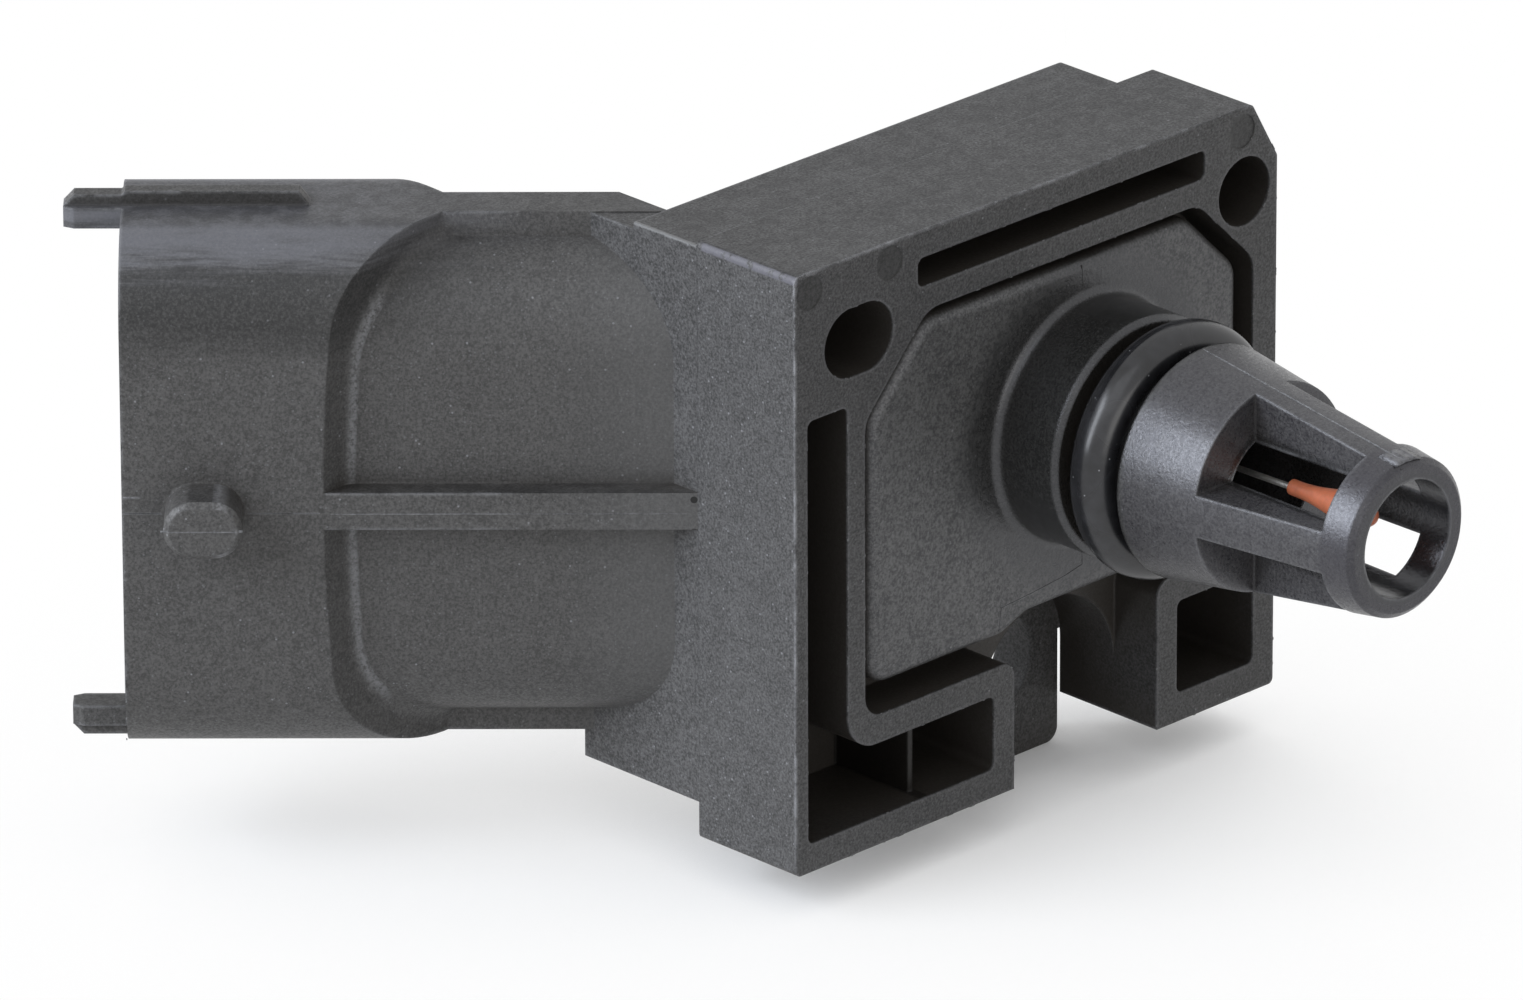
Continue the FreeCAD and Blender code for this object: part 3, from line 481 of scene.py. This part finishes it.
def simple(name, colour, rough, metal=0.0, scale=2000, vary=0.25, height=0.3, dust=0.0, extra=()):
    """A smaller part's finish: its own colour, with grain, variation and a slight bump."""
    made, tree = material(name)
    coords = add(tree, "ShaderNodeTexCoord").outputs["Object"]
    fine = noise(tree, coords, scale, rough=0.6)
    broad = noise(tree, coords, scale / 9, detail=2.0, rough=0.5)
    normal = add(tree, "ShaderNodeBevel", {"samples": 4}, {"Radius": 0.08 * mm}).outputs[0]
    tone = maths(tree, "ADD", times(tree, fine, 0.5), times(tree, broad, 0.5))
    base = blend(tree, ramp(tree, tone, 0.35, 0.65), scaled(colour, 1 - vary), scaled(colour, 1 + vary))
    if dust:
        specks = flecks(tree, coords, scale=1900, size=0.10, share=dust)
        base = blend(tree, specks, base, (0.30, 0.30, 0.31, 1))
    bump = add(tree, "ShaderNodeBump", {}, {
        "Strength": height, "Distance": 0.02 * mm, "Height": fine, "Normal": normal,
    })
    surface = add(tree, "ShaderNodeBsdfPrincipled", {}, {
        "Base Color": base, "Metallic": metal, "Normal": bump.outputs[0],
        "Roughness": ramp(tree, broad, 0.3, 0.7, max(0.02, rough - 0.08), rough + 0.08),
        **dict(extra),
    })
    close(tree, surface.outputs[0])
    return made


# Finishes of the CAD nodes

port_plastic = moulded("port_plastic", (0.062, 0.061, 0.059), rough=0.46, grain=1.5, contrast=1.25,
                       zones=port_zones)
lead_metal = simple("lead_metal", (0.84, 0.82, 0.77), 0.42, metal=0.9, scale=3500, vary=0.12)
finishes = {
    "housing": moulded("housing_plastic", (0.061, 0.060, 0.060), contrast=1.05, zones=housing_zones),
    "connector_shroud": moulded("shroud_plastic", (0.062, 0.060, 0.058), contrast=0.76, zones=shroud_zones),
    "pressure_port": port_plastic,
    "o_ring": simple("ring_rubber", (0.022, 0.022, 0.024), 0.26, scale=900, vary=0.40, dust=0.24),
    "port_sealant": simple("sealing_glue", (0.05, 0.05, 0.05), 0.4),
    "terminal_sealant": simple("terminal_compound", (0.06, 0.05, 0.045), 0.35),
    "circuit_board": simple("board_ceramic", (0.80, 0.79, 0.75), 0.4, vary=0.06),
    "board_adhesive": simple("board_glue", (0.45, 0.43, 0.40), 0.5, vary=0.1),
    "glass_pedestal": simple("pedestal_glass", (0.80, 0.88, 0.88), 0.25, vary=0.05,
                             extra={"Transmission Weight": 0.6}),
    "pressure_die": simple("die_silicon", (0.20, 0.21, 0.25), 0.2, metal=0.7, vary=0.08),
    "gel_ring": simple("dam_plastic", (0.72, 0.70, 0.64), 0.5, vary=0.08),
    "protective_gel": simple("clear_gel", (0.80, 0.83, 0.80), 0.12, vary=0.04, height=0.1,
                             extra={"Transmission Weight": 0.8}),
    "signal_chip": simple("chip_plastic", (0.02, 0.02, 0.02), 0.5),
    "filter_capacitors": simple("capacitor_ceramic", (0.40, 0.26, 0.15), 0.4, vary=0.15),
    "terminal_bonds": simple("bond_metal", (0.86, 0.86, 0.87), 0.25, metal=1.0, vary=0.06),
    "ntc_lead_upper": lead_metal,
    "ntc_lead_lower": lead_metal,
    "ntc_solder_joints": simple("solder_metal", (0.70, 0.70, 0.69), 0.3, metal=1.0, vary=0.1),
    "ntc_bead": simple("bead_epoxy", (0.50, 0.148, 0.072), 0.42, scale=2600, vary=0.14, height=0.25,
                       extra={"Subsurface Weight": 0.12, "Subsurface Scale": 0.4 * mm}),
}
terminal_metal = simple("terminal_metal", (0.72, 0.71, 0.68), 0.3, metal=1.0, vary=0.1)
for number in range(1, 5):
    finishes["terminal_%d" % number] = terminal_metal
for node_name, finish in finishes.items():
    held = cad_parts[node_name].data.materials
    held.clear()
    held.append(finish)


# Added detail: fine ridges that the mould's joints leave, with their sizes in millimetres; the dark ridges
# carry painted shade

burr_plastic = moulded("burr_plastic", (0.24, 0.24, 0.245), rough=0.42, speck=0.3)
# The dark ridges' colour is painted shade, standing in for the thin shadow line along the mould's joints
seam_shade_plastic = moulded("seam_shade_plastic", (0.014, 0.014, 0.013), rough=0.5, speck=0.1)
foot_depth, end_height, first_seed = 0.02, 0.2, 11
shortest_bit = 0.12
front = Vector(to_the_front)


def divided(points, normals, step):
    """A path's points and normals with more of both between them, about a step apart."""
    dense, ups = [points[0]], [normals[0]]
    for start, end, up_a, up_b in zip(points, points[1:], normals, normals[1:]):
        count = max(1, int((end - start).length / (step * mm)))
        for i in range(1, count + 1):
            dense.append(start.lerp(end, i / count))
            ups.append(up_a.lerp(up_b, i / count).normalized())
    return dense, ups


def ridge(mesh, points, normals, width, height, seed, uneven=0.4, step=0.3):
    """Adds a thin three-sided ridge along a path that lies on a surface, low at both ends."""
    chance = random.Random(seed)
    dense, ups = divided(points, normals, step)
    last, half = len(dense) - 1, width * mm / 2
    rings = []
    for i, (point, up) in enumerate(zip(dense, ups)):
        along = (dense[min(i + 1, last)] - dense[max(i - 1, 0)]).normalized()
        side = along.cross(up).normalized()
        tall = height * (1 - uneven * chance.random()) * mm
        if i in (0, last):
            tall *= end_height
        base = point - up * (foot_depth * mm)
        rings.append([mesh.verts.new(base - side * half), mesh.verts.new(point + up * tall),
                      mesh.verts.new(base + side * half)])
    for first, second in zip(rings, rings[1:]):
        for a, b in ((0, 1), (1, 2), (2, 0)):
            mesh.faces.new((first[a], first[b], second[b], second[a]))
    mesh.faces.new(rings[0][::-1])
    mesh.faces.new(rings[-1])


def ridges(name, runs, finish):
    """Makes one piece of several ridges."""
    mesh = bmesh.new()
    for number, run in enumerate(runs):
        ridge(mesh, seed=number + first_seed, **run)
    bmesh.ops.recalc_face_normals(mesh, faces=mesh.faces)
    data = bpy.data.meshes.new(name)
    mesh.to_mesh(data)
    mesh.free()
    piece = bpy.data.objects.new(name, data)
    bpy.context.scene.collection.objects.link(piece)
    data.materials.append(finish)
    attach(piece, "root")


# Connector: joints and flash on its near side and round its peg, and torn bits on its rim

rim_face = connector_rim - 0.04
rim_low, rim_high = -14.5, 9.5
peg_face = shroud_half + peg_stand
peg_edge = peg_face - 0.1


def side_line(start, end, stand, up, width, height, uneven=0.4):
    """A line out along the connector's near side."""
    return {
        "points": [on_connector(start, stand, up), on_connector(end, stand, up)],
        "normals": [connector_near, connector_near], "width": width, "height": height, "uneven": uneven,
    }


def torn_rim(count, seed):
    """Small torn bits of flash up the rim's near edge, and a longer one back from it on the side."""
    chance = random.Random(seed)
    runs = [side_line(31.95, 30.9, shroud_half, up=0.85, width=0.14, height=0.05, uneven=0.5)]
    for _ in range(count):
        up, size = chance.uniform(rim_low, rim_high), shortest_bit + 0.5 * chance.random() ** 2
        outward = (connector_near + connector_out * chance.uniform(0.0, 0.6)).normalized()
        runs.append({
            "points": [on_connector(rim_face, shroud_half, z) for z in (up, up + size)],
            "normals": [outward] * 2,
            "width": 0.07, "height": 0.03 + 0.05 * chance.random(), "uneven": 0.7, "step": 0.1,
        })
    return runs


ridges("shroud_parting_line", [
    side_line(31.9, 29.8, shroud_half, up=-0.1, width=0.09, height=0.03),
    side_line(25.0, 21.0, shroud_half, up=-0.1, width=0.07, height=0.02),
], seam_shade_plastic)
ridges("peg_flash", [
    side_line(29.35, 25.5, peg_face, up=0.0, width=0.06, height=0.06, uneven=0.95),
    side_line(25.62, 25.2, peg_edge, up=0.0, width=0.16, height=0.14, uneven=0.3),
    side_line(29.75, 29.3, peg_edge, up=0.0, width=0.12, height=0.10, uneven=0.3),
    side_line(20.4, 0.6, shroud_half, up=-0.15, width=0.05, height=0.035, uneven=0.98),
], burr_plastic)
ridges("rim_flash", torn_rim(count=26, seed=21), burr_plastic)

# Cover: the joint runs straight above the nozzle and bends to the left below it

cover_seams = (
    ((-0.37, 9.3), (-0.28, 7.75)),
    ((-0.28, -7.75), (-0.27, -8.93), (-1.72, -9.22), (-4.2, -9.45), (-6.77, -9.63), (-6.93, -11.0)),
)
ridges("cover_parting_line", [{
    "points": [Vector((x, cover_face, z)) * mm for x, z in seam], "normals": [front] * len(seam),
    "width": 0.085, "height": 0.03,
} for seam in cover_seams], seam_shade_plastic)

# Nozzle: the mould's halves meet along the cone's top and bottom, and close on the tip

cone_stations, tip_stations = (8.8, 12.0, 16.0, 20.0, 24.05), (22.9, 23.2, 23.7, 24.3)
cone_joints, tip_turns = (-0.02, math.pi), (-0.09, 0.04, 0.17)
tip_joint, tip_joint_heights = -0.53, (4.42, 4.05, 3.7)


def on_cone(forward, turn):
    """A point on the cone in metres, and the direction away from its axis."""
    share = (forward - groove_end) / (tip - groove_end)
    radius = (cone_large + share * (cone_small - cone_large)) / 2
    out = Vector((math.sin(turn), 0, math.cos(turn)))
    return (out * radius + Vector((0, -forward, 0))) * mm, out


def cone_line(stations, turn, width, height, uneven):
    """A line forward along the cone."""
    points, normals = zip(*(on_cone(forward, turn) for forward in stations))
    return {"points": points, "normals": normals, "width": width, "height": height, "uneven": uneven}


ridges("cone_parting_line", [
    cone_line(cone_stations, turn, width=0.13, height=0.07, uneven=0.85) for turn in cone_joints
], burr_plastic)
ridges("tip_flash", [
    cone_line(tip_stations, turn, width=0.95, height=0.04, uneven=0.1) for turn in tip_turns
], port_plastic)
ridges("tip_parting_line", [{
    "points": [Vector((tip_joint, -tip, z)) * mm for z in tip_joint_heights],
    "normals": [front] * len(tip_joint_heights), "width": 0.07, "height": 0.02,
}], seam_shade_plastic)

# Flange: torn bits along its front edges

joined, level_within, sharp_angle = 0.002 * mm, 0.005 * mm, 1.0
shortest_run = 0.05 * mm


def front_edges(node_name, plane):
    """The sharp edges of a node that lie in one plane across the nozzle's axis."""
    mesh = bmesh.new()
    mesh.from_mesh(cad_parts[node_name].data)
    bmesh.ops.remove_doubles(mesh, verts=mesh.verts, dist=joined)
    found = []
    for edge in mesh.edges:
        in_plane = all(abs(v.co.y - plane * mm) < level_within for v in edge.verts)
        if in_plane and len(edge.link_faces) == 2 and edge.calc_face_angle(0) > sharp_angle:
            ends = sorted(tuple(round(c, 6) for c in v.co) for v in edge.verts)
            found.append((Vector(ends[0]), Vector(ends[1])))
    mesh.free()
    return sorted(found, key=lambda pair: (tuple(pair[0]), tuple(pair[1])))


def burrs(node_name, plane, gap, seed):
    """Small torn bits of flash along a node's front edges, about one in every gap of millimetres."""
    chance = random.Random(seed)
    runs, left = [], gap * chance.random()
    for start, end in front_edges(node_name, plane):
        length = (end - start).length / mm
        along = (end - start).normalized()
        while left < length:
            size = shortest_bit + 0.45 * chance.random() ** 3
            first = start + along * left * mm
            last = start + along * min(left + size, length) * mm
            lean = Vector((chance.uniform(-0.5, 0.5), -1, chance.uniform(-0.5, 0.5))).normalized()
            if (last - first).length > shortest_run:
                runs.append({
                    "points": [first, last], "normals": [lean] * 2, "step": 0.08, "uneven": 0.8,
                    "width": 0.06 + 0.05 * chance.random(), "height": 0.03 + 0.06 * chance.random(),
                })
            left += size + gap * (0.3 + 1.4 * chance.random())
        left -= length
    return runs


ridges("flange_edge_flash", burrs("housing", plane=0.0, gap=2.6, seed=5), burr_plastic)

# Camera, fitted to the photograph: distances in millimetres

azimuth, elevation, roll = math.radians(-44.68), math.radians(23.06), math.radians(-0.20)
distance, shift_right, shift_up = 1000.0, -18.49, -4.575
focal_pixels, image_width, sensor_width = 17827.6, 1523.0, 36.0


def add_camera():
    """The camera that looks from the photograph's place."""
    back = Vector((
        math.sin(azimuth) * math.cos(elevation), -math.cos(azimuth) * math.cos(elevation),
        math.sin(elevation),
    ))
    level = Vector((math.cos(azimuth), math.sin(azimuth), 0))
    upright = back.cross(level)
    right = level * math.cos(roll) + upright * math.sin(roll)
    up = upright * math.cos(roll) - level * math.sin(roll)
    place = (back * distance + right * shift_right + up * shift_up) * mm
    lens = bpy.data.cameras.new("camera")
    lens.sensor_width = sensor_width
    lens.lens = focal_pixels * sensor_width / image_width
    lens.clip_start, lens.clip_end = 0.05, 20.0
    camera = bpy.data.objects.new("camera", lens)
    bpy.context.scene.collection.objects.link(camera)
    camera.matrix_world = Matrix.Translation(place) @ Matrix((right, up, back)).transposed().to_4x4()
    bpy.context.scene.camera = camera


add_camera()

# Floor: pale paper that the camera sees as white, but for a painted shadow close to the object

floor_gap, floor_half, shade_reach = 0.02 * mm, 3.0, 45.0 * mm
shaded, unshaded = 0.08, 0.75
shaded_glow, unshaded_glow = 0.05, 1.0


def add_floor():
    """A large square just under the object."""
    height, half = cad_low.z - floor_gap, floor_half
    data = bpy.data.meshes.new("floor")
    corners = [(x * half, y * half, height) for x, y in ((-1, -1), (1, -1), (1, 1), (-1, 1))]
    data.from_pydata(corners, [], [(0, 1, 2, 3)])
    floor = bpy.data.objects.new("floor", data)
    bpy.context.scene.collection.objects.link(floor)
    made, tree = material("floor_paper")
    # Painted shadow: the white that the camera sees is dimmed where the object hides the space above the
    # floor
    above = add(tree, "ShaderNodeAmbientOcclusion", {"samples": 3}, {"Distance": shade_reach})
    lit = ramp(tree, above.outputs["AO"], shaded, unshaded, shaded_glow, unshaded_glow)
    paper = add(tree, "ShaderNodeBsdfDiffuse", {}, {"Color": grey(0.85)})
    glow = add(tree, "ShaderNodeEmission", {}, {"Color": grey(1.0), "Strength": 1.0})
    mixed = add(tree, "ShaderNodeMixShader", {}, {
        0: times(tree, lit, looked_at(tree)), 1: paper.outputs[0], 2: glow.outputs[0],
    })
    close(tree, mixed.outputs[0])
    data.materials.append(made)


add_floor()

# Light: a white world to look at, which lights weakly, and three soft lamps in metres and watts

fill_colour, fill_strength = (0.97, 0.98, 1.0, 1), 0.27
lit_place = Vector((-15.0, 10.0, 0)) * mm


def add_world():
    """A world that is white to look at and dim as a light."""
    world = bpy.data.worlds.new("studio")
    bpy.context.scene.world = world
    world.use_nodes = True
    tree = world.node_tree
    tree.nodes.clear()
    seen = add(tree, "ShaderNodeBackground", {}, {"Color": grey(1.0), "Strength": 1.0})
    unseen = add(tree, "ShaderNodeBackground", {}, {"Color": fill_colour, "Strength": fill_strength})
    mixed = add(tree, "ShaderNodeMixShader", {}, {
        0: looked_at(tree), 1: unseen.outputs[0], 2: seen.outputs[0],
    })
    close(tree, mixed.outputs[0], "ShaderNodeOutputWorld")


def softbox(name, direction, reach, size, power, colour):
    """An area light that looks at the object from a direction."""
    lamp = bpy.data.lights.new(name, "AREA")
    lamp.shape = "RECTANGLE"
    lamp.size = lamp.size_y = size
    lamp.energy = power
    lamp.color = colour
    placed = bpy.data.objects.new(name, lamp)
    bpy.context.scene.collection.objects.link(placed)
    direction = Vector(direction).normalized()
    placed.location = lit_place + direction * reach
    placed.rotation_euler = direction.to_track_quat("Z", "Y").to_euler()


add_world()
softbox("key_light", (-0.88, 0.38, 0.52), reach=0.7, size=0.5, power=6.6, colour=(0.87, 0.92, 1.0))
softbox("front_light", (-0.15, -1.0, 0.10), reach=0.9, size=0.5, power=1.6, colour=(1.0, 0.98, 0.95))
softbox("top_light", (-0.6, -0.5, 1.0), reach=0.8, size=0.6, power=0.9, colour=(0.92, 0.95, 1.0))

bpy.context.scene.view_settings.view_transform = "Standard"
